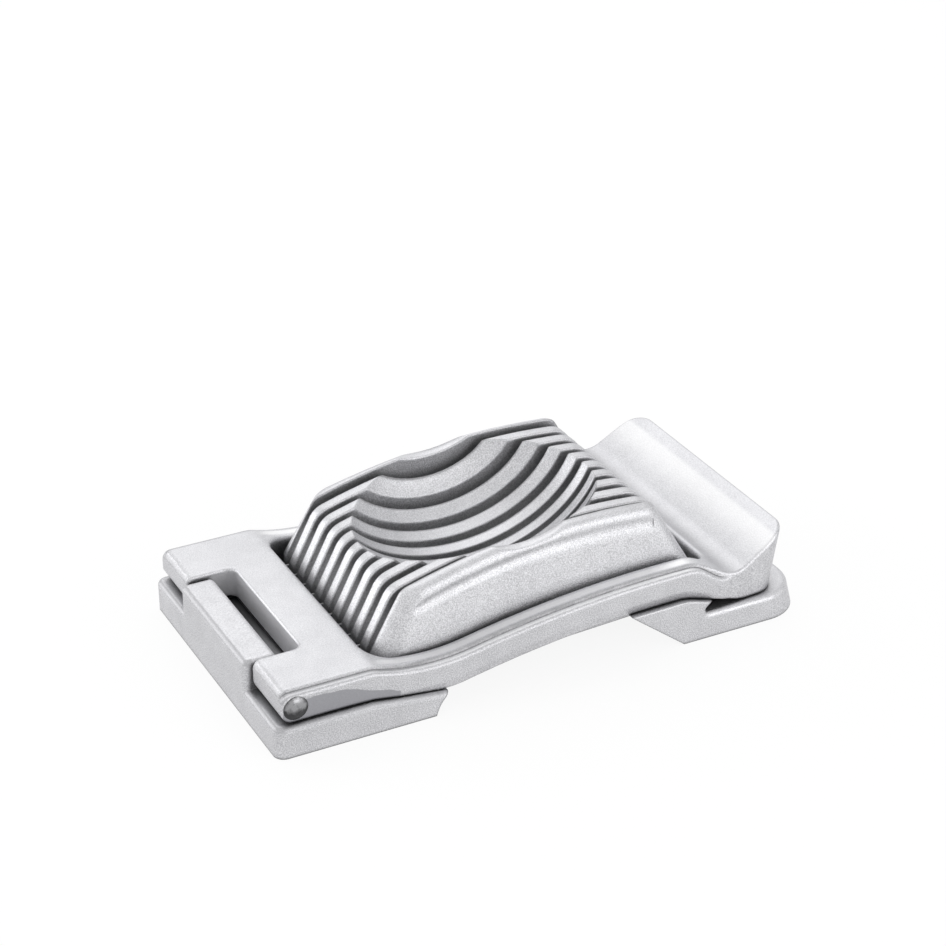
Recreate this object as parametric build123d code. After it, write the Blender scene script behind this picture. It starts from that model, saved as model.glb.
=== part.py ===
from build123d import *
from math import atan2, radians, sqrt, tan
import os

# A wire egg slicer in cast aluminium: a base with a slotted egg cradle, and a hinged cutting frame strung
# with steel wires. X runs from the hinge end to the handle end, Z is up, and the origin lies on the table
# below the middle of the base. All sizes are in millimetres and degrees.

# Slots and wires
SLOT_COUNT = 10
SLOT_PITCH = 5.72
SLOT_WIDTH = 2.4
SLOT_BELOW_WIRE = 2.4
SLOT_RUN = 2.0
WIRE_DIAMETER = 0.8
WIRE_BELOW_PIN = 1.4
WIRE_TAIL = 1.0
WIRE_CLEARANCE = 0.04
FERRULE_DIAMETER = 2.6
FERRULE_LENGTH = 4.0
CRIMP_LENGTH = 2.2
CRIMP_DEPTH = 0.35

# Lengths along the slicer, in order from the hinge end
BLOCK_DEPTH = 9.4
HINGE_GAP = 6.2
BAR_DEPTH = 13.5
BAR_GAP = 3.4
CRADLE_LENGTH = 96.1
HANDLE_GAP = 1.2
HANDLE_LENGTH = 22.6
TOE_OVERHANG = 5.6

# Widths across the slicer, in order from the outermost slot
SIDE_WALL = 6.46
FRAME_GAP = 0.7
RAIL_WIDTH = 6.9
FOOT_MARGIN = 1.0

# Feet of the base
CAST_WALL = 3.2
FOOT_LENGTH = 44.2
FOOT_HEIGHT = 8.9
FOOT_FLAT = 27.0
FOOT_FALL = 2.75
FOOT_NOSE = 3.8
COVE_SET = 1.1
COVE_DROP = 2.8
FOOT_COVE = 10.0
FOOT_CORNER = 3.0
FOOT_ROUND = 1.5
TOE_LENGTH = 39.6
TOE_HEIGHT = 7.6
TOE_CORNER = 12.0
TOE_LEDGE = 34.2
TOE_LEAN = 2.0
STEP_ROUND = 0.9
STEP_UNDERCUT = 3.4
SEAT_CLEARANCE = 0.35
SEAT_SLANT = 38.5
ARCH_LOW = 4.7
ARCH_SLOPE = 2.7

# Cradle with its ramps, rib tops and bowl
RAMP_ANGLE = 62.8
END_ANGLE = 61.0
WALL_DRAFT = 9.2
WALL_BASE = 14.0
CRADLE_CORNER = 7.0
END_CORNER = 4.0
CREST_ROUND = 3.0
CREST_RADIUS = 182.5
CREST_HEIGHT = 37.5
CREST_OFFSET = 15.0
RIM_RISE = 0.9
RIB_DEPTH = 7.5
RIB_CHAMFER = 0.35
KNEE_ROUND = 6.5
GROOVE_RADIUS = 2.4
GROOVE_DEPTH = 0.5
GROOVE_DROP = 4.4
GROOVE_START = 10.0
GROOVE_END = 14.0
BOWL_LENGTH = 77.2
BOWL_DIAMETER = 58.6
BOWL_FLOOR = 17.0
BOWL_OFFSET = -6.1
BOWL_WALL = 5.0
SADDLE_RADIUS = 30.0
SADDLE_FLOOR = 35.2
SADDLE_OFFSET = -4.9

# Hinge
EAR_SETBACK = 2.0
EAR_REACH = 3.8
PIN_LIFT = 4.2
EAR_HEIGHT = 8.8
EAR_ROUND = 2.5
EAR_HEEL = 3.3
EAR_CLEARANCE = 0.6
FRAME_LIFT = 0.6
BLOCK_WIDTH = 43.4
BLOCK_BELOW_EAR = 0.8
BLOCK_ROUND = 1.8
PIN_DIAMETER = 4.2
PIN_CLEARANCE = 0.05
PIN_HEAD_DIAMETER = 6.7
PIN_HEAD_HEIGHT = 0.9

# Rails and shoulders of the cutting frame
RAIL_DEPTH = 9.0
RAIL_CREST = 22.5
RAIL_RADIUS = 309.0
CREST_BACK = 13.8
DIP_RUN = 27.0
DIP_SLOPE = -0.28
DIP_RADIUS = 55.0
NOSE_CLEARANCE = 0.25
UNDER_RADIUS = 25.0
BEND_BACK = 1.6
BEND_RADIUS = 9.0
SHOULDER_WIDTH = 1.8
SHOULDER_DROP = 0.8
SHOULDER_ROUND = 1.0
LAND_ROUND = 0.8
OPENING_CORNER = 6.5
NOTCH_CORNER = 2.5
RIM_ROUND = 1.2
NOTCH_ROUND = 0.8
BAR_WALL = 3.5
POCKET_ROOM = 0.8
POCKET_CORNER = 1.5
FACET_HEIGHT = 2.5
FACET_INSET = 0.7
GROUND_REACH = 8.4
GROUND_HEIGHT = 6.0
GROUND_WIDTH = 41.0
GROUND_RADIUS = 374.0

# Handle
HANDLE_BOTTOM = 8.0
HANDLE_UNDER = 14.9
HANDLE_RISE = 3.1
HANDLE_EASE = 15.0
HANDLE_TAPER = 3.6
TAPER_START = 2.7
TAPER_RADIUS = 30.0
FLARE = 1.1
FLARE_START = 6.7
FLARE_RUN = 2.8
FLARE_RADIUS = 20.0
LIP_HALF = 39.0
HANDLE_CORNER = 7.0
SCOOP_START = 6.5
SCOOP_EASE = 10.0
SCOOP_DEPTH = 6.5
SCOOP_BACK = 17.4
SCOOP_RADIUS = 7.0
SIDE_START = 6.5
SIDE_EASE = 8.0
SIDE_DIP = 5.8
SIDE_BACK = 21.4
SIDE_RADIUS = 6.0
SIDE_SINK = 4.0
SIDE_INSET = 0.8
LIP_HEIGHT = 26.2
LIP_THICKNESS = 4.2
LIP_DROP = 1.9
LIP_ROUND = 5.0
END_LEAN = 3.0

# Stations along X that follow from the lengths
BASE_LENGTH = (BLOCK_DEPTH + HINGE_GAP + BAR_DEPTH + BAR_GAP + CRADLE_LENGTH
               + HANDLE_GAP + HANDLE_LENGTH + TOE_OVERHANG)
HINGE_END = -BASE_LENGTH / 2
TOE_END = BASE_LENGTH / 2
BAR_START = HINGE_END + BLOCK_DEPTH + HINGE_GAP
OPENING_START = BAR_START + BAR_DEPTH
CRADLE_START = OPENING_START + BAR_GAP
CRADLE_END = CRADLE_START + CRADLE_LENGTH
CRADLE_MIDDLE = (CRADLE_START + CRADLE_END) / 2
OPENING_END = CRADLE_END + HANDLE_GAP
LIP_END = OPENING_END + HANDLE_LENGTH
EAR_END = HINGE_END + EAR_SETBACK
PIN_X = EAR_END + EAR_REACH
CREST_X = OPENING_END - CREST_BACK
DIP_X = OPENING_START + DIP_RUN
TOE_STEP = TOE_END - TOE_LEDGE
CREST_MIDDLE = CRADLE_MIDDLE + CREST_OFFSET
BOWL_MIDDLE = CRADLE_MIDDLE + BOWL_OFFSET

# Half widths that follow from the slots
SLOT_SPAN = (SLOT_COUNT - 1) * SLOT_PITCH / 2 + SLOT_WIDTH / 2
CRADLE_HALF = SLOT_SPAN + SIDE_WALL
OPENING_HALF = CRADLE_HALF + FRAME_GAP
FRAME_HALF = OPENING_HALF + RAIL_WIDTH
BASE_HALF = FRAME_HALF + FOOT_MARGIN
LAND_HALF = FRAME_HALF - SHOULDER_WIDTH
NOTCH_HALF = BLOCK_WIDTH / 2 + EAR_CLEARANCE

# Heights that follow from the feet
EAR_BOTTOM = FOOT_HEIGHT + FRAME_LIFT
EAR_TOP = EAR_BOTTOM + EAR_HEIGHT
PIN_Z = EAR_BOTTOM + PIN_LIFT
WIRE_Z = PIN_Z - WIRE_BELOW_PIN
SLOT_FLOOR = WIRE_Z - SLOT_BELOW_WIRE
RAIL_BOTTOM = RAIL_CREST - RAIL_DEPTH
SCOOP_FLOOR = RAIL_CREST - SCOOP_DEPTH
BOWL_AXIS = BOWL_FLOOR + BOWL_DIAMETER / 2
ABOVE = CREST_HEIGHT + CREST_ROUND + SADDLE_RADIUS

# Largest upward lean of a face that still counts as an upright side, and as a leaning one
UPRIGHT = 0.05
LEANING = 0.4


def rounded(corners):
    """Flat face from (a, b, radius) corners, each rounded to its own radius."""
    points = [(a, b) for a, b, _ in corners]
    radii = [radius for _, _, radius in corners]
    return make_face(FilletPolyline(*points, radius=radii, close=True))


def slab(corners, half_width):
    """Solid of a side outline in X and Z, spread evenly to both sides of the middle plane."""
    return extrude(Plane.XZ * rounded(corners), amount=half_width, both=True)


def prism(start, end, half_width, corner, low, high):
    """Upright block with rounded upright corners."""
    face = RectangleRounded(end - start, 2 * half_width, corner)
    return Pos((start + end) / 2, 0, low) * extrude(face, amount=high - low)


def crosswise_rod(x, z, radius, half_length):
    """Cylinder along Y."""
    return Pos(x, 0, z) * Rot(90, 0, 0) * Cylinder(radius, 2 * half_length)


def lengthwise_rod(start, end, y, z, radius):
    """Cylinder along X."""
    return Pos((start + end) / 2, y, z) * Rot(0, 90, 0) * Cylinder(radius, end - start)


def crossing(point_a, slope_a, point_b, slope_b):
    """Point where two sloping lines meet."""
    (xa, za), (xb, zb) = point_a, point_b
    x = (zb - za + slope_a * xa - slope_b * xb) / (slope_a - slope_b)
    return x, za + slope_a * (x - xa)


def slot_places():
    """Y of every slot, from the near side to the far side."""
    first = -(SLOT_COUNT - 1) * SLOT_PITCH / 2
    return [first + SLOT_PITCH * i for i in range(SLOT_COUNT)]


def rim_edges(body, after, steepness):
    """Edges where the upward faces of a body meet its upright sides, from a station onwards."""
    tops = [face for face in body.faces() if face.normal_at().Z > LEANING]
    sides = [face for face in body.faces() if abs(face.normal_at().Z) < steepness and face.center().X > after]
    upper = set(edge for face in tops for edge in face.edges())
    return [edge for face in sides for edge in face.edges() if edge in upper]


def rail_fall(x):
    """How far the long arc of a rail lies below its crest at a station."""
    return RAIL_RADIUS - sqrt(RAIL_RADIUS ** 2 - (CREST_X - x) ** 2)


def rail_climb(crest_z):
    """Long arc that lifts a rail from its dip to its crest: its start, the slope there and its corner."""
    run = CREST_X - DIP_X
    fall = rail_fall(DIP_X)
    slope = run / (RAIL_RADIUS - fall)
    corner = CREST_X - RAIL_RADIUS * tan(atan2(run, RAIL_RADIUS - fall) / 2)
    return (DIP_X, crest_z - fall), slope, (corner, crest_z, RAIL_RADIUS)


def frame_top(drop):
    """Upper outline of the frame from the ears to the crest of the rails."""
    bend = (OPENING_START - BEND_BACK, EAR_TOP - drop)
    start, slope, climb = rail_climb(RAIL_CREST - drop)
    dip = crossing(bend, DIP_SLOPE, start, slope)
    return [(EAR_END, EAR_TOP - drop, EAR_ROUND), (*bend, BEND_RADIUS), (*dip, DIP_RADIUS), climb]


def frame_bottom():
    """Lower outline of the frame from the handle back to the ears, just clear of the nose of the foot."""
    bend = (OPENING_START - BEND_BACK, EAR_BOTTOM)
    nose = FOOT_HEIGHT - FOOT_FALL + NOSE_CLEARANCE
    fall = (nose - EAR_BOTTOM) / (HINGE_END + FOOT_LENGTH + FOOT_NOSE - bend[0])
    start, slope, climb = rail_climb(RAIL_BOTTOM)
    dip = crossing(bend, fall, start, slope)
    return [(LIP_END + LIP_THICKNESS, HANDLE_BOTTOM, 0), (LIP_END - HANDLE_UNDER, HANDLE_BOTTOM, HANDLE_EASE),
            (CREST_X + HANDLE_RISE, RAIL_BOTTOM, HANDLE_EASE), climb, (*dip, UNDER_RADIUS),
            (*bend, BEND_RADIUS), (EAR_END, EAR_BOTTOM, 0)]


def handle_top():
    """Upper outline of the handle: scoop and upturned lip."""
    return [(CREST_X + SCOOP_START, RAIL_CREST, SCOOP_EASE),
            (LIP_END - SCOOP_BACK, SCOOP_FLOOR, SCOOP_RADIUS),
            (LIP_END - LIP_THICKNESS, LIP_HEIGHT - LIP_DROP, LIP_ROUND),
            (LIP_END + LIP_THICKNESS, LIP_HEIGHT + LIP_DROP, 0)]


def shoulder_top():
    """Upper outline of the shoulder beside the handle, which dips deeper and rises to the lip."""
    crest = RAIL_CREST - SHOULDER_DROP
    return [(CREST_X + SIDE_START, crest, SIDE_EASE), (LIP_END - SIDE_BACK, crest - SIDE_DIP, SIDE_RADIUS),
            (LIP_END + LIP_THICKNESS, LIP_HEIGHT - SIDE_SINK, 0)]


def frame_plan(sides, inset):
    """Mass of a frame layer within its outline from above, slanted so that its end leans out to the lip."""
    lean = END_LEAN / (LIP_HEIGHT - HANDLE_BOTTOM)
    far = [(LIP_END - inset - lean * LIP_HEIGHT, sides[0], HANDLE_CORNER), *sides[1:],
           (EAR_END - EAR_HEIGHT, sides[-1][1], 0)]
    near = [(x, -y, radius) for x, y, radius in reversed(far)]
    slant = Vector(lean, 0, 1)
    return extrude(rounded(near + far), amount=ABOVE * slant.length, dir=slant)


def frame_layer(top, sides, inset, half_width, rounding):
    """One layer of the frame: its side outline within its plan, with its outer rims rounded."""
    body = slab(top + frame_bottom(), half_width) & frame_plan(sides, inset)
    return fillet(rim_edges(body, EAR_END + EAR_ROUND / 2, LEANING), rounding)


def upper_rims(frame, start, end):
    """Upper edges inside the frame between two stations."""
    edges = [edge for edge in rim_edges(frame, -BASE_LENGTH, UPRIGHT) if start < edge.center().X < end]
    return [edge for edge in edges if abs(edge.center().Y) < OPENING_HALF + RIM_ROUND]


def both_sides(shape):
    """A shape at the near side, and its mirror image at the far side."""
    return shape + mirror(shape, Plane.XZ)


def rail_facet():
    """Slanted cut along the lower edge of the near rail, which runs out at the ear and under the handle."""
    handle, rise, climb, dip, bend = frame_bottom()[1:-1]
    raised = [(x, z + FACET_HEIGHT, radius) for x, z, radius in (rise, climb, dip)]
    start = bend[0]
    end = handle[0] + FACET_HEIGHT
    face = Plane.XZ * rounded([(end, handle[1], 0), *raised, (start, bend[1], 0), (start, -ABOVE, 0),
                               (end, -ABOVE, 0)])
    inward = Vector(0, FACET_INSET, -FACET_HEIGHT)
    place = Pos(0, -FRAME_HALF - FACET_INSET / 2, FACET_HEIGHT / 2)
    return extrude(place * face, amount=2 * inward.length, dir=inward)


def ground_facet():
    """Large ball that grinds the shallow facet on the near ear, behind the pin."""
    depth = GROUND_WIDTH ** 2 / (2 * GROUND_RADIUS)
    middle = EAR_BOTTOM + GROUND_HEIGHT - GROUND_WIDTH
    return Pos(PIN_X + GROUND_REACH, depth - FRAME_HALF - GROUND_RADIUS, middle) * Sphere(GROUND_RADIUS)


def heel():
    """What is cut from the lower end of the ears to round it."""
    corner = Pos(EAR_END, 0, EAR_BOTTOM) * Box(2 * EAR_HEEL, 2 * BASE_HALF, 2 * EAR_HEEL)
    return corner - crosswise_rod(EAR_END + EAR_HEEL, EAR_BOTTOM + EAR_HEEL, EAR_HEEL, BASE_HALF)


def make_frame():
    """Cutting frame: raised land and lower shoulder, less its opening, notch, pockets and bores."""
    land_sides = [LIP_HALF, (OPENING_END + FLARE_RUN, LAND_HALF + FLARE, FLARE_RADIUS),
                  (OPENING_END - FLARE_START, LAND_HALF, FLARE_RADIUS)]
    shoulder_sides = [FRAME_HALF - HANDLE_TAPER, (OPENING_END - TAPER_START, FRAME_HALF, TAPER_RADIUS)]
    frame = frame_layer(frame_top(0) + handle_top(), land_sides, 0, BASE_HALF, LAND_ROUND)
    frame += frame_layer(frame_top(SHOULDER_DROP) + shoulder_top(), shoulder_sides, SIDE_INSET, FRAME_HALF,
                         SHOULDER_ROUND)
    frame = frame - heel() - both_sides(rail_facet()) - both_sides(ground_facet())
    frame -= prism(OPENING_START, OPENING_END, OPENING_HALF, OPENING_CORNER, 0, ABOVE)
    frame = fillet(upper_rims(frame, BAR_START, OPENING_END + RIM_ROUND), RIM_ROUND)
    frame -= prism(HINGE_END - BLOCK_DEPTH, BAR_START, NOTCH_HALF, NOTCH_CORNER, 0, ABOVE)
    frame = fillet(upper_rims(frame, EAR_END + EAR_ROUND, BAR_START + NOTCH_ROUND), NOTCH_ROUND)
    roof = WIRE_Z + FERRULE_DIAMETER / 2 + POCKET_ROOM
    frame -= prism(BAR_START + BAR_WALL, OPENING_START - BAR_WALL, SLOT_SPAN + BAR_WALL,
                   POCKET_CORNER, 0, roof)
    frame -= prism(OPENING_END + BAR_WALL, LIP_END - END_LEAN - BAR_WALL, LAND_HALF - BAR_WALL,
                   HANDLE_CORNER - BAR_WALL, 0, roof)
    bore = WIRE_DIAMETER / 2 + WIRE_CLEARANCE
    for y in slot_places():
        frame -= lengthwise_rod(OPENING_START - BAR_WALL, OPENING_START, y, WIRE_Z, bore)
        frame -= lengthwise_rod(OPENING_END, OPENING_END + BAR_WALL, y, WIRE_Z, bore)
    return frame - crosswise_rod(PIN_X, PIN_Z, PIN_DIAMETER / 2 + PIN_CLEARANCE, BASE_HALF)


def make_pin():
    """Hinge pin with a low domed head at each side."""
    dome = (PIN_HEAD_DIAMETER ** 2 / 4 + PIN_HEAD_HEIGHT ** 2) / (2 * PIN_HEAD_HEIGHT)
    head = Pos(PIN_X, dome - FRAME_HALF - PIN_HEAD_HEIGHT, PIN_Z) * Sphere(dome)
    heads = both_sides(head) - crosswise_rod(PIN_X, PIN_Z, 2 * dome, FRAME_HALF)
    return heads + crosswise_rod(PIN_X, PIN_Z, PIN_DIAMETER / 2, FRAME_HALF)


def make_wire(y):
    """Cutting wire through both bars and both of its ferrules."""
    reach = BAR_WALL + FERRULE_LENGTH + WIRE_TAIL
    return lengthwise_rod(OPENING_START - reach, OPENING_END + reach, y, WIRE_Z, WIRE_DIAMETER / 2)


def make_ferrule(start, y):
    """Crimped sleeve that holds one end of a wire: a short tube with two pressed flats."""
    end = start + FERRULE_LENGTH
    middle = (start + end) / 2
    sleeve = lengthwise_rod(start, end, y, WIRE_Z, FERRULE_DIAMETER / 2)
    for side in (-1, 1):
        flat = Box(CRIMP_LENGTH, SLOT_WIDTH, 2 * CRIMP_DEPTH)
        sleeve -= Pos(middle, y, WIRE_Z + side * FERRULE_DIAMETER / 2) * flat
    return sleeve - lengthwise_rod(start, end, y, WIRE_Z, WIRE_DIAMETER / 2 + WIRE_CLEARANCE)


def cradle_plan(height, inset):
    """Outline of the cradle from above at a height; its ends and sides draw in above their foot."""
    rise = max(height - WALL_BASE, 0)
    start = CRADLE_START + rise / tan(radians(RAMP_ANGLE)) + inset
    end = CRADLE_END - rise / tan(radians(END_ANGLE)) - inset
    half_width = CRADLE_HALF - rise * tan(radians(WALL_DRAFT)) - inset
    near = [(start, -half_width, CRADLE_CORNER - inset), (end, -half_width, END_CORNER - inset)]
    far = [(x, -y, radius) for x, y, radius in reversed(near)]
    return Pos(0, 0, height) * rounded(near + far)


def cradle_hull(inset, low):
    """Closed mass of the cradle walls, tall enough for the crest to be cut from it."""
    heights = (WALL_BASE, CREST_HEIGHT + CREST_ROUND)
    upper = loft([cradle_plan(height, inset) for height in heights], ruled=True)
    return upper + extrude(cradle_plan(low, inset), amount=WALL_BASE - low)


def under_crest(lift, half_width):
    """Everything below the long arc of the crest, lifted by an amount."""
    return crosswise_rod(CREST_MIDDLE, CREST_HEIGHT - CREST_RADIUS, CREST_RADIUS + lift, half_width)


def egg(growth):
    """Egg-shaped mass that hollows the bowl."""
    long_radius = BOWL_LENGTH / 2 + growth
    short_radius = BOWL_DIAMETER / 2 + growth
    upper = Pos(0, short_radius) * Rectangle(2 * long_radius, 2 * short_radius)
    return Pos(BOWL_MIDDLE, 0, BOWL_AXIS) * revolve(Ellipse(long_radius, short_radius) & upper, axis=Axis.X)


def slots():
    """Boxes that cut every slot, from one end of the cradle to the other."""
    slot = Box(CRADLE_LENGTH + SLOT_RUN, SLOT_WIDTH, ABOVE)
    return [Pos(CRADLE_MIDDLE, y, SLOT_FLOOR + ABOVE / 2) * slot for y in slot_places()]


def make_ribs(hull):
    """Comb of ribs under the crest, with rounded knees and eased upper edges."""
    ribs = hull & under_crest(0, SLOT_SPAN)
    crest = ribs.faces().sort_by(Axis.Z)[-1]
    ribs = fillet([edge for edge in crest.edges() if edge.bounding_box().size.Y > SLOT_SPAN], KNEE_ROUND)
    for slot in slots():
        ribs -= slot
    sides = [face for face in ribs.faces() if abs(face.normal_at().Y) > 1 - UPRIGHT]
    tops = [face for face in ribs.faces() if face.normal_at().Z > LEANING and face.center().Z > WALL_BASE]
    upper = set(edge for face in tops for edge in face.edges())
    return chamfer([edge for face in sides for edge in face.edges() if edge in upper], RIB_CHAMFER)


def make_groove():
    """Shallow groove under the rim of the near wall; it leans as the wall does."""
    radius = CREST_RADIUS + RIM_RISE - GROOVE_DROP
    start = CRADLE_START + GROOVE_START
    end = CRADLE_END - GROOVE_END
    ring = Pos(CREST_MIDDLE, 0, CREST_HEIGHT - CREST_RADIUS) * Rot(90, 0, 0) * Torus(radius, GROOVE_RADIUS)
    ring &= Pos((start + end) / 2, 0, ABOVE / 2) * Box(end - start, SLOT_SPAN, ABOVE)
    lean = Pos(0, -CRADLE_HALF, WALL_BASE) * Rot(-WALL_DRAFT, 0, 0)
    return lean * Pos(0, GROOVE_DEPTH - GROOVE_RADIUS, -WALL_BASE) * ring


def make_cradle():
    """Cradle: rounded walls, lower rib tops between them, a bowl for the egg and a saddle across."""
    hull = cradle_hull(0, 0)
    walls = hull & under_crest(RIM_RISE, BASE_HALF)
    walls = fillet(walls.faces().sort_by(Axis.Z)[-1].edges(), CREST_ROUND)
    walls -= Pos(0, 0, ABOVE / 2) * Box(BASE_LENGTH, 2 * SLOT_SPAN, ABOVE)
    cradle = walls + make_ribs(hull) - both_sides(make_groove()) - egg(0)
    saddle = CRADLE_MIDDLE + SADDLE_OFFSET
    cradle -= crosswise_rod(saddle, SADDLE_FLOOR + SADDLE_RADIUS, SADDLE_RADIUS, BASE_HALF)
    low = HINGE_END + FOOT_LENGTH
    rise = tan(radians(ARCH_SLOPE))
    arch = [(x, ARCH_LOW + (x - low) * rise, 0) for x in (HINGE_END, TOE_END)]
    return cradle - slab([(HINGE_END, -ARCH_LOW, 0), *arch, (TOE_END, -ARCH_LOW, 0)], BASE_HALF)


def make_foot():
    """Hinge foot: flat under the ears, then falling under the rails to a nose with a cove below it."""
    end = HINGE_END + FOOT_LENGTH
    low = FOOT_HEIGHT - FOOT_FALL
    body = slab([(HINGE_END, 0, 0), (HINGE_END, FOOT_HEIGHT, 0),
                 (HINGE_END + FOOT_FLAT, FOOT_HEIGHT, BEND_RADIUS), (end + FOOT_NOSE, low, 0),
                 (end + COVE_SET, low - COVE_DROP, FOOT_COVE), (end, 0, 0)], BASE_HALF)
    body &= prism(HINGE_END, TOE_END, BASE_HALF, FOOT_CORNER, 0, ABOVE)
    return fillet(rim_edges(body, -BASE_LENGTH, UPRIGHT), FOOT_ROUND)


def make_toe():
    """Toe under the handle: a low ledge with a leaning end, and a seat for the rails on a slanted bracket."""
    start = TOE_END - TOE_LENGTH
    seat = RAIL_BOTTOM - SEAT_CLEARANCE
    nose = start - seat / tan(radians(SEAT_SLANT))
    knee = CREST_X + HANDLE_RISE
    tip = TOE_STEP + STEP_UNDERCUT
    fall = (RAIL_BOTTOM - HANDLE_BOTTOM) / (LIP_END - HANDLE_UNDER - knee)
    body = slab([(start, 0, 0), (TOE_END, 0, 0), (TOE_END, TOE_HEIGHT, 0), (TOE_STEP, TOE_HEIGHT, STEP_ROUND),
                 (tip, seat - fall * (tip - knee), 0), (knee, seat, HANDLE_EASE),
                 (nose, seat - rail_fall(nose), 0)], BASE_HALF)
    slant = Vector(-TOE_LEAN / TOE_HEIGHT, 0, 1)
    plan = RectangleRounded(BASE_LENGTH, 2 * BASE_HALF, TOE_CORNER)
    body &= extrude(plan, amount=ABOVE * slant.length, dir=slant)
    rim = [edge for edge in rim_edges(body, TOE_STEP, LEANING) if edge.center().X > TOE_STEP + STEP_ROUND]
    return fillet(rim, FOOT_ROUND)


def make_block():
    """Hinge block between the ears, with every upper edge rounded."""
    top = EAR_TOP - BLOCK_BELOW_EAR
    body = prism(HINGE_END, HINGE_END + BLOCK_DEPTH, BLOCK_WIDTH / 2, BLOCK_ROUND, 0, top)
    return fillet(body.faces().sort_by(Axis.Z)[-1].edges(), BLOCK_ROUND)


def make_base():
    """Base casting: feet, hinge block and cradle, hollow below and slotted above."""
    base = make_foot() + make_toe() + make_block() + make_cradle()
    below = -CAST_WALL
    base -= cradle_hull(CAST_WALL, below) & under_crest(-RIB_DEPTH, BASE_HALF) - egg(BOWL_WALL)
    hollow = BASE_HALF - CAST_WALL
    base -= prism(HINGE_END + CAST_WALL, CRADLE_START, hollow, FOOT_CORNER, below, FOOT_HEIGHT - CAST_WALL)
    base -= prism(CRADLE_END, TOE_END - CAST_WALL, hollow, TOE_CORNER - CAST_WALL,
                  below, TOE_HEIGHT - CAST_WALL)
    for slot in slots():
        base -= slot
    return base - crosswise_rod(PIN_X, PIN_Z, PIN_DIAMETER / 2 + PIN_CLEARANCE, BASE_HALF)


pieces = {"base_casting": make_base(), "cutting_frame": make_frame(), "hinge_pin": make_pin()}
for number, place in enumerate(slot_places(), 1):
    pieces[f"wire_{number:02d}"] = make_wire(place)
    pieces[f"hinge_ferrule_{number:02d}"] = make_ferrule(OPENING_START - BAR_WALL - FERRULE_LENGTH, place)
    pieces[f"handle_ferrule_{number:02d}"] = make_ferrule(OPENING_END + BAR_WALL, place)

os.makedirs("parts", exist_ok=True)
for name, solid in pieces.items():
    export_step(solid, f"parts/{name}.step")
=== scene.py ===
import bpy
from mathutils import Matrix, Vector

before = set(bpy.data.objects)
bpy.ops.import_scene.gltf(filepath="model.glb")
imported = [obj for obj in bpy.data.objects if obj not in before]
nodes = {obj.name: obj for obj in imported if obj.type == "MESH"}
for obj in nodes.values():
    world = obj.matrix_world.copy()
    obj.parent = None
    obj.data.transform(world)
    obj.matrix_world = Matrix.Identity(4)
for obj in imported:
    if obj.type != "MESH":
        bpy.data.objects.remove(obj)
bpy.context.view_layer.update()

# %% [markdown]
# A wire egg slicer in cast aluminium. Its base carries a slotted cradle for the egg, and a hinged frame strung with
# ten steel wires swings down through the slots. The solids come in finished from the frame file, in metres, with the
# hinge end at -X and the table at Z = 0. They could be modelled on here, but their shape is complete, so this lesson
# leaves it alone and adds the finishes, a camera and a studio.

# %% [markdown]
# Every finish below is a small network of shader nodes. Wiring them by hand makes long code, so a class wraps an
# output socket and lets Python's own operators add the Math nodes. Then a mask, which is a value between 0 and 1 that
# says where a finish lies, reads like arithmetic. A second class holds a node tree and has one method that adds any
# other node.

# %% A socket that can be calculated with
HALF = 0.5


class Flow:
    """A value on its way between shader nodes. Arithmetic on it adds Math nodes."""

    def __init__(self, paint, socket):
        self.paint = paint
        self.socket = socket

    def math(self, operation, *values):
        return self.paint.node("Math", {"operation": operation}, dict(enumerate(values)))

    def __add__(self, other):
        return self.math("ADD", self, other)

    def __sub__(self, other):
        return self.math("SUBTRACT", self, other)

    def __mul__(self, other):
        return self.math("MULTIPLY", self, other)

    def __rsub__(self, other):
        return self.math("SUBTRACT", other, self)

    __radd__ = __add__
    __rmul__ = __mul__

    def size(self):
        """The value without its sign."""
        return self.math("ABSOLUTE", self)

    def at_least(self, low):
        """The value, or low where it is smaller."""
        return self.math("MAXIMUM", self, low)

    def over(self, low, high):
        """0 below low, 1 above high and a smooth step between them."""
        inputs = {"Value": self, "From Min": low, "From Max": high}
        return self.paint.node("MapRange", {"interpolation_type": "SMOOTHSTEP"}, inputs)

    def under(self, low, high):
        """1 below low, 0 above high and a smooth step between them."""
        return 1 - self.over(low, high)

    def swing(self, share):
        """How far the value lies from one half, times share."""
        return (self - HALF) * share


print("values can be added, subtracted and multiplied")


# %% A node tree that adds its own nodes
class Paint:
    """A node tree, with one method that adds a node, sets it up and wires its inputs."""

    def __init__(self, tree):
        self.tree = tree
        tree.nodes.clear()

    def node(self, kind, settings=None, inputs=None, out=0):
        made = self.tree.nodes.new("ShaderNode" + kind)
        for name, value in (settings or {}).items():
            setattr(made, name, value)
        for name, value in (inputs or {}).items():
            if isinstance(value, Flow):
                self.tree.links.new(value.socket, made.inputs[name])
            else:
                made.inputs[name].default_value = value
        return Flow(self, made.outputs[out]) if made.outputs else made

    def axes(self, vector, wanted="XYZ"):
        """The wanted parts of a vector, each as a value."""
        return [self.node("SeparateXYZ", None, {0: vector}, axis) for axis in wanted]

    def blend(self, share, first, second):
        """A colour between two colours."""
        return self.node("Mix", {"data_type": "RGBA"}, {0: share, 6: first, 7: second}, out=2)

    def noise(self, place, scale=1, detail=2, roughness=0.5):
        inputs = {"Vector": place, "Scale": scale, "Detail": detail, "Roughness": roughness}
        return self.node("TexNoise", None, inputs)

    def metal(self, colour, rough, normal):
        """Finish a material as bare metal."""
        inputs = {"Base Color": colour, "Metallic": 1.0, "Roughness": rough, "Normal": normal}
        self.node("OutputMaterial", None, {"Surface": self.node("BsdfPrincipled", None, inputs)})


print("shader nodes come from", Paint.node.__qualname__)


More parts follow.
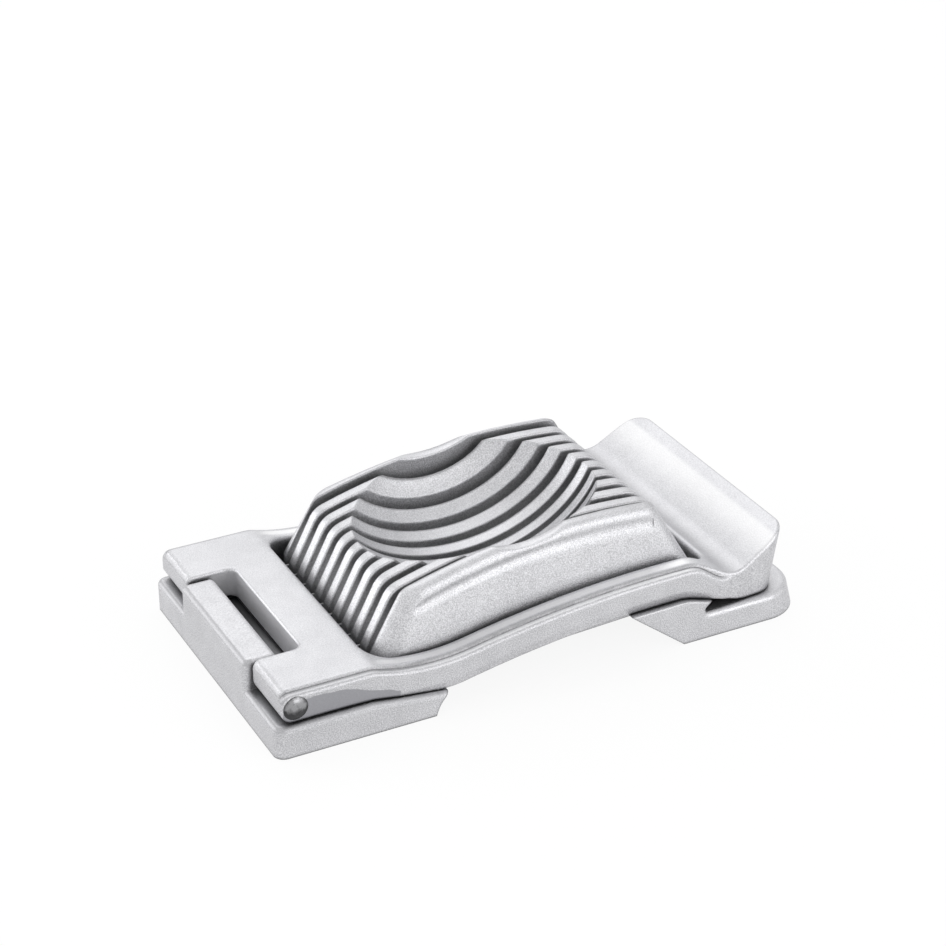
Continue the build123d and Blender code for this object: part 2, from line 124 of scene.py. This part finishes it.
# %% New materials and plain greys
def new_paint(name):
    """An empty material and the Paint that fills it."""
    material = bpy.data.materials.new(name)
    material.use_nodes = True
    return material, Paint(material.node_tree)


def grey(level, cool=0.0):
    """A nearly neutral colour; cool lifts its blue a little."""
    return (level, level, level * (1 + cool), 1)


print("middle grey is", grey(HALF))

# %% [markdown]
# The camera could be placed by eye. Here its place was worked out from the parallel edges of the real casting in its
# picture: a short telephoto, a little above the table, looking along the slicer from its hinge end. So the model can
# be laid over that picture and compared with it.

# %% Camera
CAMERA_PLACE = Vector((-0.2656, -0.5073, 0.3521))
CAMERA_AIM = Vector((0.4046, 0.7806, -0.4764))
CAMERA_LENS = 92.9

camera = bpy.data.objects.new("camera", bpy.data.cameras.new("camera"))
camera.data.lens = CAMERA_LENS
camera.location = CAMERA_PLACE
camera.rotation_euler = CAMERA_AIM.to_track_quat("-Z", "Y").to_euler()
bpy.context.scene.collection.objects.link(camera)
bpy.context.scene.camera = camera
bpy.context.scene.view_settings.view_transform = "Standard"
print("camera", round(CAMERA_PLACE.length, 3), "m from the middle of the table")

# %% [markdown]
# The studio is a pale table under soft lamps. A table bright enough to look white would also throw so much light that
# the metal lost its form. So the table and the surroundings are shown to the camera, and to the metal that mirrors
# them, as plain white, while the light that they throw stays at an ordinary level. A Light Path node tells those rays
# apart. A small share of the lit table is left in the mix, which keeps a trace of shadow under the feet.

# %% Rays that see the studio
SEEN_RAYS = ("Is Camera Ray", "Is Glossy Ray", "Is Transmission Ray")


def seen_directly(paint):
    """1 for rays that come from the camera or from a mirroring or clear surface, 0 for soft light."""
    camera_ray, mirrored, passed = [paint.node("LightPath", None, None, kind) for kind in SEEN_RAYS]
    return camera_ray.at_least(mirrored).at_least(passed)


print("the studio looks white to", len(SEEN_RAYS), "kinds of ray")

# %% Table
TABLE_SIZE = 12.0
TABLE_GREY = 0.9
SHADOW_SHARE = 0.12


def make_table():
    half = TABLE_SIZE / 2
    corners = [(-half, -half, 0), (half, -half, 0), (half, half, 0), (-half, half, 0)]
    mesh = bpy.data.meshes.new("table")
    mesh.from_pydata(corners, [], [(0, 1, 2, 3)])
    table = bpy.data.objects.new("table", mesh)
    bpy.context.scene.collection.objects.link(table)
    material, paint = new_paint("table_white")
    lit = paint.node("BsdfDiffuse", None, {"Color": grey(TABLE_GREY)})
    plain = paint.node("Emission", None, {"Color": grey(1.0), "Strength": 1.0})
    mixed = paint.node("MixShader", None, {0: seen_directly(paint) * (1 - SHADOW_SHARE), 1: lit, 2: plain})
    paint.node("OutputMaterial", None, {"Surface": mixed})
    mesh.materials.append(material)


make_table()
print("table of", TABLE_SIZE, "m")

# %% Surroundings
SKY_LEVEL = 0.85


def make_surroundings(level):
    world = bpy.data.worlds.new("surroundings")
    world.use_nodes = True
    bpy.context.scene.world = world
    paint = Paint(world.node_tree)
    strength = seen_directly(paint) * (1 - level) + level
    sky = paint.node("Background", None, {"Color": grey(1.0), "Strength": strength})
    paint.node("OutputWorld", None, {"Surface": sky})


make_surroundings(SKY_LEVEL)
print("surroundings light the slicer at", SKY_LEVEL)

# %% [markdown]
# Satin metal shows its form only where the light differs from side to side, so one lamp or an even sky would leave it
# flat. A large lamp overhead lifts the tops, a weak one at the side turns the edges, a low panel behind the hinge end
# is mirrored by the sloping ribs, and one in front fills the leaning walls of the cradle. Large lamps give the soft
# shadows that suit a satin skin.

# %% Lamps
LAMP_SIZE = 0.8
LAMPS = [
    # name, place, aim, watts
    ("overhead", (0.15, 0.5, 0.8), (0, 0, 0), 2.1),
    ("side", (-0.7, -0.2, 0.5), (0, 0, 0), 0.4),
    ("hinge_panel", (-0.9, 0.8, 0.2), (0, 0, 0.02), 5.5),
    ("front_fill", (0.45, -0.95, 0.3), (0, 0, 0.02), 4.0),
]


def make_lamp(name, place, aim, watts):
    """A soft square lamp."""
    data = bpy.data.lights.new(name, "AREA")
    data.size = LAMP_SIZE
    data.energy = watts
    lamp = bpy.data.objects.new(name, data)
    lamp.location = place
    lamp.rotation_euler = (Vector(aim) - Vector(place)).to_track_quat("-Z", "Y").to_euler()
    bpy.context.scene.collection.objects.link(lamp)


for lamp_row in LAMPS:
    make_lamp(*lamp_row)
print("lamps", [lamp.name for lamp in bpy.data.lights])

# %% [markdown]
# The two castings are aluminium that was blasted with fine glass beads. Grinding left a facet on that skin, and light
# and shade are painted into its colour as further marks. The marks come first, one cell each, as masks. A mask could
# be
# painted by hand on an unwrapped mesh. Here it is worked out from the place of a point in the object's own
# coordinates:
# that needs no picture, stays sharp from close by, and moves with the frame when the slicer opens. A pair of numbers
# below is where a mask starts to change and where it has changed. The solid is the same at both sides, so most masks
# read the distance from the middle plane.
#
# First the outer sides of the ears. They were ground after casting, which leaves a shallow facet behind the pin that
# is smoother than the blasted skin; painted shade makes it darker, for the darker table that the smooth facet mirrors.
# The facet is part of a large ball in the solid, so its mask asks whether a point lies on that ball. The tool left a
# wavering line along the top of the facet and stopped short in a step, which the solid doesn't have, so the mask draws
# both.

# %% Where the ears were ground
GROUND_MIDDLE = (-0.0648, -0.41275, -0.0255)
GROUND_RADIUS = 0.374
GROUND_SKIN = (0.00004, 0.00009)
GROUND_TOP = 0.0156
GROUND_TURN = -0.0613
GROUND_SLOPE = 0.326
GROUND_END = -0.0443
WAVER_SCALE = 200
WAVER_HEIGHT = 0.0016
EAR_BOTTOM = 0.0092
FOOT_TURN = -0.0520
FOOT_SLOPE = 0.16
SHARP = 0.0001


def ground_marks(paint, place):
    """1 on the facets that grinding left on the ears, which painted shade darkens, and 0 on the blasted skin."""
    along, across, height = paint.axes(place)
    near = paint.node("CombineXYZ", None, {"X": along, "Y": across.size() * -1, "Z": height})
    distance = paint.node("VectorMath", {"operation": "DISTANCE"}, {0: near, 1: GROUND_MIDDLE}, "Value")
    on_ball = (distance - GROUND_RADIUS).size().under(*GROUND_SKIN)
    waver = paint.noise(paint.node("CombineXYZ", None, {"X": along * WAVER_SCALE}), detail=1)
    top = GROUND_TOP - (along - GROUND_TURN).at_least(0) * GROUND_SLOPE + waver.swing(WAVER_HEIGHT)
    touched = (height - top).under(-SHARP, SHARP) * along.under(GROUND_END - 2 * SHARP, GROUND_END)
    bottom = EAR_BOTTOM - (along - FOOT_TURN).at_least(0) * FOOT_SLOPE
    # The same mask carries the painted shade that darkens the facets.
    return {"ground_shaded": on_ball * touched * (height - bottom).over(-2 * SHARP, 0)}


print("ground facets lie", GROUND_RADIUS, "m from", GROUND_MIDDLE)

# %% [markdown]
# Between the hinge block and the cross-bar there is a narrow gap. Its walls are painted paler than the blasted skin,
# which is painted light, and are rougher. Its floor gets painted shade, darker towards the far side. Two more
# materials on two sets of faces could give that, but the faces run on past the gap. A box in space cuts them off where
# it is wanted.

# %% The gap behind the hinge block
GAP_FRONT = (-0.0710, -0.0692)
GAP_BACK = (-0.0632, -0.0631)
GAP_SIDE = (0.0224, 0.0225)
GAP_FLOOR = (0.0093, 0.0096)
GAP_TOP = (0.0169, 0.0181)
FLOOR_FADE = (-0.024, 0.014)
FLOOR_SHADE = 0.15
FLOOR_SHADE_FAR = 0.75


def gap_marks(paint, place):
    """1 on the walls of the gap, where light is painted, and how much painted shade lies on its floor."""
    along, across, height = paint.axes(place)
    inside = along.over(*GAP_FRONT) * along.under(*GAP_BACK) * across.size().under(*GAP_SIDE)
    # Painted light: the walls of the gap are paler.
    gap_wall_light = inside * height.over(*GAP_FLOOR) * height.under(*GAP_TOP)
    # Painted shade: the floor of the gap is darker, more so towards the far side.
    floor_darkness = FLOOR_SHADE + across.over(*FLOOR_FADE) * FLOOR_SHADE_FAR
    return {"gap_wall_light": gap_wall_light, "floor": inside * height.under(*GAP_FLOOR) * floor_darkness}


print("hinge gap from", GAP_FRONT[0], "to", GAP_BACK[1], "m along the slicer")

# %% [markdown]
# A rim runs along the outside of the ears and rails: a flat land beside the cradle, a crease that parts it from a
# rounded bead, and the bead's outer shoulder. The step in the solid is small, so on its own it reads as a thin line.
# A painted highlight on the land and the bead and painted shade in the crease and on the shoulder make it read as a
# moulded rim. On the ears the crease lies a little further out and there is no bead.

# %% The rim of the ears and rails
UPWARD = (0.5, 0.95)
RIM_FOOT = (0.0125, 0.0135)
RIM_START = (-0.0772, -0.0760)
RIM_END = (0.040, 0.046)
LAND_START = (-0.052, -0.046)
LAND_INNER, LAND_OUTER = (0.0350, 0.0364), (0.0374, 0.0384)
EAR_END = (-0.046, -0.034)
EAR_SHIFT = 0.0007
CREASE_INNER, CREASE_OUTER = (0.0380, 0.0386), (0.0391, 0.0397)
BEAD_INNER, BEAD_OUTER = (0.0393, 0.0398), (0.0403, 0.0407)
BEAD_RISE = (0.3, 0.5)
SHOULDER_INNER = (0.0404, 0.0408)
SHOULDER_RISE = (0.25, 0.45)


def rim_marks(paint, place, rise):
    """1 on the land and the bead, which get a painted highlight, and in the crease and on the shoulder, which get
    painted shade; rise is 1 on level tops.
    """
    along, across, height = paint.axes(place)
    width = across.size()
    rim = height.over(*RIM_FOOT) * along.over(*RIM_START) * along.under(*RIM_END)
    land = rim * along.over(*LAND_START) * rise.over(*UPWARD)
    past_ear = along.over(*EAR_END)
    shifted = width - (1 - past_ear) * EAR_SHIFT
    bead = rim * past_ear * rise.over(*BEAD_RISE)
    # Painted highlight on the land and the bead, painted shade in the crease and on the shoulder.
    return {
        "land": land * width.over(*LAND_INNER) * width.under(*LAND_OUTER),
        "crease": rim * shifted.over(*CREASE_INNER) * shifted.under(*CREASE_OUTER),
        "bead": bead * width.over(*BEAD_INNER) * width.under(*BEAD_OUTER),
        "shoulder": rim * width.over(*SHOULDER_INNER) * rise.over(*SHOULDER_RISE),
    }


print("rim crease", CREASE_INNER[1], "m from the middle")

# %% [markdown]
# The handle is a scoop that rises to a lip. The rise gets a painted highlight, which makes it paler, and the hollow
# before the rise gets painted shade, which makes it a little darker. Both fade slowly, so wide steps along the slicer
# are enough, and asking how far a face looks up keeps the sides and the end of the handle free of them.

# %% The handle's rise and hollow
HANDLE_FOOT = (0.0125, 0.0140)
HANDLE_RISE = (0.4, 0.6)
HIGHLIGHT_START, HIGHLIGHT_END = (0.0595, 0.0680), (0.0684, 0.0698)
HOLLOW_START, HOLLOW_END = (0.0490, 0.0520), (0.0560, 0.0600)


def handle_marks(paint, place, rise):
    """1 on the rise of the handle, which gets a painted highlight, and 1 in the hollow before it, which gets painted
    shade.
    """
    along, height = paint.axes(place, "XZ")
    scoop = height.over(*HANDLE_FOOT) * rise.over(*HANDLE_RISE)
    # Painted highlight on the rise, painted shade in the hollow.
    return {
        "highlighted": scoop * along.over(*HIGHLIGHT_START) * along.under(*HIGHLIGHT_END),
        "hollow": scoop * along.over(*HOLLOW_START) * along.under(*HOLLOW_END),
    }


print("handle polished from", HIGHLIGHT_START[0], "to", HIGHLIGHT_END[1], "m along the slicer")

# %% [markdown]
# No edge of a casting is sharp. More bevels in the mesh would cost many faces, so a Bevel node bends the normals near
# each edge while rendering. The side walls of the cradle are the roundest, above all in the half towards the handle,
# where they were smoothed. There the radius is larger, and the masks of the walls are kept for the cells below.

# %% Soft edges
WALL_INNER, WALL_OUTER = (0.0272, 0.0280), (0.0336, 0.0340)
WALL_FOOT = (0.013, 0.016)
WALL_END = (0.046, 0.049)
SMOOTHED = (-0.014, 0.022)
EDGE_ROUND = 0.001
WALL_ROUND = 0.0004
SMOOTH_ROUND = 0.0019
BEVEL_SAMPLES = 8


def cradle_walls(paint, place):
    """1 on the side walls of the cradle, and 1 on their smoothed half."""
    along, across, height = paint.axes(place)
    width = across.size()
    walls = width.over(*WALL_INNER) * width.under(*WALL_OUTER) * height.over(*WALL_FOOT) * along.under(*WALL_END)
    return walls, walls * along.over(*SMOOTHED)


def soft_normal(paint, walls, smoothed):
    """The normal, bent near every edge."""
    radius = EDGE_ROUND + walls * WALL_ROUND + smoothed * SMOOTH_ROUND
    return paint.node("Bevel", {"samples": BEVEL_SAMPLES}, {"Radius": radius})


print("edges turn within", EDGE_ROUND, "m")

# %% [markdown]
# Where an edge turns, the lamps draw a bright line along it, and painted shade makes the skin a shade darker there to
# dim it. Two things find such places. Near a sharp edge the bent normal differs from the real one, and their dot
# product says by how much. The hinge foot and the front of the hinge block have true rounded edges in the solid, and
# there the face itself looks partly up.

# %% Edges darkened with painted shade
BEND = (0.02, 0.2)
TURN_START, TURN_END = (0.10, 0.30), (0.90, 0.98)
FOOT_TOP = (0.0092, 0.0098)
BLOCK_FRONT = (-0.0765, -0.0760)
FOOT_END = (-0.034, -0.030)


def edge_marks(paint, place, rise, soft, walls):
    """1 on all edges that get painted shade, and 1 on those that are round in the solid."""
    along, height = paint.axes(place, "XZ")
    flat = paint.node("NewGeometry", None, None, "Normal")
    straight = paint.node("VectorMath", {"operation": "DOT_PRODUCT"}, {0: soft, 1: flat}, "Value")
    # Painted shade on the edges, which dims the bright lines that the lamps put there.
    near_edge = (1 - straight).over(*BEND) * (1 - walls)
    elsewhere = (height.over(*FOOT_TOP) * along.over(*BLOCK_FRONT)).at_least(along.over(*FOOT_END))
    turned = rise.over(*TURN_START) * rise.under(*TURN_END) * (1 - elsewhere)
    return {"dimmed": near_edge.at_least(turned), "turned": turned}


print("hinge foot worn up to", FOOT_TOP[1], "m above the table")

# %% [markdown]
# White surroundings throw hardly any shadow into the slots, under the frame or into fine creases, so the finish paints
# shade there. An Ambient Occlusion node tells how much of the sky a point sees within a given reach: a long reach
# finds the slots and a short one the creases. The gap's walls, the smoothed walls of the cradle and the land of the
# rails are left out.

# %% Slots and creases
SLOT_REACH = 0.006
CREASE_REACH = 0.0012
SKY_SAMPLES = 6
SLOT_SKY = (0.1, 0.95)
CREASE_SKY = (0.4, 0.95)
SHELTER_FOOT = (0.004, 0.0085)
GAP_LIGHT = 0.8


def shade_marks(paint, place, marks, smoothed):
    """Painted shade: 1 deep in the slots, and 1 in fine creases."""
    height, = paint.axes(place, "Z")
    wide, close = [paint.node("AmbientOcclusion", {"samples": SKY_SAMPLES}, {"Distance": reach}, "AO")
                   for reach in (SLOT_REACH, CREASE_REACH)]
    # Painted shade deep in the slots and under the frame.
    slot_shade = wide.under(*SLOT_SKY) * height.over(*SHELTER_FOOT) * (1 - marks["gap_wall_light"] * GAP_LIGHT)
    return {
        "slot_shade": slot_shade * (1 - smoothed) * (1 - marks["land"]),
        # Painted shade in fine creases.
        "crease_shade": close.under(*CREASE_SKY) * (1 - marks["gap_wall_light"]) * (1 - smoothed),
    }


print("slots found within", SLOT_REACH, "m, creases within", CREASE_REACH, "m")

# %% [markdown]
# Now the skin itself. Blasting leaves an even satin with a sparkling grain about a third of a millimetre wide. The
# grain is noise in the object's own coordinates, so it keeps its size, and larger, weaker noise keeps the tone from
# looking printed. Upward faces lay open to the blast and are smoother. The marks are laid over the skin one after the
# other, like coats of paint: each row says how strongly a mark covers what is below it, and with which grey. Shade
# comes last, because it lies over all of them.

# %% Coats over the blasted skin
SKIN_DARK, SKIN_LIGHT = grey(0.42, 0.040), grey(0.70, 0.025)
SKIN_TONES = (0.1, 0.9)
# Painted light: the land, the bead, the handle's rise and the gap's walls are paler than the lamps make them. Painted
# shade: the edges, the handle's hollow, the crease, the shoulder, the ground facets, the fine creases, the slots and
# the gap's floor are darker.
COATS = {
    "dimmed": (0.42, grey(0.28, 0.03)),
    "highlighted": (0.50, grey(0.85)),
    "hollow": (0.25, grey(0.30, 0.03)),
    "land": (0.65, grey(0.88)),
    "bead": (0.30, grey(0.88)),
    "crease": (0.40, grey(0.12, 0.03)),
    "shoulder": (0.25, grey(0.12, 0.03)),
    "ground_shaded": (0.85, grey(0.31, 0.07)),
    "gap_wall_light": (0.80, grey(0.80, 0.02)),
    "crease_shade": (0.55, grey(0.12, 0.03)),
    "slot_shade": (0.60, grey(0.08, 0.02)),
    "floor": (1.00, grey(0.03, 0.02)),
}


def coated(paint, tone, marks):
    """The colour of the skin with every mark laid over it."""
    colour = paint.blend(tone.over(*SKIN_TONES), SKIN_DARK, SKIN_LIGHT)
    for name, (cover, tint) in COATS.items():
        colour = paint.blend(marks[name] * cover, colour, tint)
    return colour


print("coats", list(COATS))

# %% Blasted cast aluminium
GRAIN_TONE, CLOUD_TONE, DRIFT_TONE = 1.6, 0.25, 0.2
SATIN = 0.47
GRAIN_ROUGH, CLOUD_ROUGH = 0.16, 0.08
ROUGHER = {"ground_shaded": -0.10, "turned": 0.08, "gap_wall_light": 0.15}
GRAIN_DEPTH = 0.0001
GRAIN_STRENGTH = 0.7
UPWARD_SMOOTH = 0.5
GROUND_SMOOTH = 0.7


def cast_aluminium(name):
    material, paint = new_paint(name)
    place = paint.node("TexCoord", None, None, "Object")
    rise, = paint.axes(paint.node("TexCoord", None, None, "Normal"), "Z")
    walls, smoothed = cradle_walls(paint, place)
    soft = soft_normal(paint, walls, smoothed)
    marks = {**ground_marks(paint, place), **gap_marks(paint, place), **rim_marks(paint, place, rise)}
    marks.update(handle_marks(paint, place, rise))
    marks.update(edge_marks(paint, place, rise, soft, walls))
    marks.update(shade_marks(paint, place, marks, smoothed))

    grain = paint.noise(place, scale=3000, detail=1, roughness=0.6)
    clouds = paint.noise(place, scale=190, detail=3)
    drift = paint.noise(place, scale=40, detail=2)
    coarse = 1 - rise.over(*UPWARD) * UPWARD_SMOOTH
    tone = HALF + grain.swing(GRAIN_TONE) * coarse + clouds.swing(CLOUD_TONE) + drift.swing(DRIFT_TONE)
    rough = SATIN + grain.swing(GRAIN_ROUGH) + clouds.swing(CLOUD_ROUGH)
    for mark, change in ROUGHER.items():
        rough = rough + marks[mark] * change
    relief = grain * coarse * (1 - marks["ground_shaded"] * GROUND_SMOOTH)
    bump = {"Strength": GRAIN_STRENGTH, "Distance": GRAIN_DEPTH, "Height": relief, "Normal": soft}
    paint.metal(coated(paint, tone, marks), rough, paint.node("Bump", None, bump))
    return material


finishes = {"cast_aluminium": cast_aluminium("cast_aluminium")}
print("cast aluminium of", len(finishes["cast_aluminium"].node_tree.nodes), "nodes")

# %% [markdown]
# The wires and the ferrules are steel that was drawn through a die, which leaves fine lines along their length. A
# picture of scratches would have to be wrapped round each wire. Noise that is stretched by a different amount along
# each axis gives the same lines without one, because the wires all lie along X.

# %% Drawn steel of the wires and the ferrules
STEEL_TONES = (0.15, 0.85)
STEEL_DARK, STEEL_BRIGHT = 0.2, 1.25
STEEL_COOL = 0.03
LINE_TONE, SPOT_TONE = 0.8, 0.3
LINE_ROUGH = 0.22
LINE_STRENGTH = 0.3
LINE_DEPTH = 0.00004


def steel_paint(paint, tone, level, roughness, lines):
    """Finish a steel material: its tone and the lines that the tool left on it."""
    dark, bright = [grey(level * share, STEEL_COOL) for share in (STEEL_DARK, STEEL_BRIGHT)]
    colour = paint.blend(tone.over(*STEEL_TONES), dark, bright)
    bump = {"Strength": LINE_STRENGTH, "Distance": LINE_DEPTH, "Height": lines}
    paint.metal(colour, roughness + lines.swing(LINE_ROUGH), paint.node("Bump", None, bump))


def drawn_steel(name, level, roughness, stretch):
    material, paint = new_paint(name)
    place = paint.node("TexCoord", None, None, "Object")
    stretched = paint.node("VectorMath", {"operation": "MULTIPLY"}, {0: place, 1: stretch})
    lines = paint.noise(stretched, detail=3, roughness=0.65)
    spots = paint.noise(place, scale=500, detail=2)
    tone = HALF + lines.swing(LINE_TONE) + spots.swing(SPOT_TONE)
    steel_paint(paint, tone, level, roughness, lines)
    return material


finishes["wire_steel"] = drawn_steel("wire_steel", level=0.36, roughness=0.30, stretch=(300, 6000, 6000))
finishes["ferrule_steel"] = drawn_steel("ferrule_steel", level=0.40, roughness=0.40, stretch=(500, 4000, 4000))
print("drawn steel", sorted(finishes))

# %% [markdown]
# The pin was turned on a lathe, so its lines run in rings round its axis: there the noise reads only the distance from
# the axis. Its domed heads stay bright in the middle, and painted shade darkens them round the rim where they meet
# the ear and on the lower half. All three are one tone, so that the stains break up every border.

# %% Turned steel of the pin
PIN_X = -0.0732
PIN_Z = 0.0137
RING_SCALE = 9000
HEAD_RIM = (0.0022, 0.0034)
LOWER_HALF = (-0.0010, 0.0020)
PIN_TONE = 0.72
RING_TONE, STAIN_TONE = 0.6, 0.9
RIM_DARK, LOWER_SHADE_DARK = 0.35, 0.65


def turned_steel(name, level, roughness):
    material, paint = new_paint(name)
    place = paint.node("TexCoord", None, None, "Object")
    along, height = paint.axes(place, "XZ")
    end_on = paint.node("CombineXYZ", None, {"X": along, "Z": height})
    reach = paint.node("VectorMath", {"operation": "DISTANCE"}, {0: end_on, 1: (PIN_X, 0, PIN_Z)}, "Value")
    rings = paint.noise(paint.node("CombineXYZ", None, {"X": reach * RING_SCALE}), detail=2, roughness=0.6)
    stains = paint.noise(place, scale=900, detail=3)
    # Painted shade on the lower half of the heads.
    lower_shade = (PIN_Z - height).over(*LOWER_HALF)
    tone = PIN_TONE + rings.swing(RING_TONE) + stains.swing(STAIN_TONE)
    # Painted shade round the rim of each head and on its lower half.
    tone = tone - reach.over(*HEAD_RIM) * RIM_DARK - lower_shade * LOWER_SHADE_DARK
    steel_paint(paint, tone, level, roughness, rings)
    return material


finishes["pin_steel"] = turned_steel("pin_steel", level=0.26, roughness=0.22)
print("finishes", sorted(finishes))

# %% [markdown]
# Every piece gets the finish of its slot. The slot could be picked by hand for each of the pieces, but their names
# already say what they are: two castings, one pin, and the rest wires or ferrules.

# %% Put the finishes on
def slot_of(node):
    if node in ("base_casting", "cutting_frame"):
        return "cast_aluminium"
    if node == "hinge_pin":
        return "pin_steel"
    return "wire_steel" if node.startswith("wire") else "ferrule_steel"


for name, piece in nodes.items():
    piece.data.materials.clear()
    piece.data.materials.append(finishes[slot_of(name)])
print("dressed", len(nodes), "pieces")
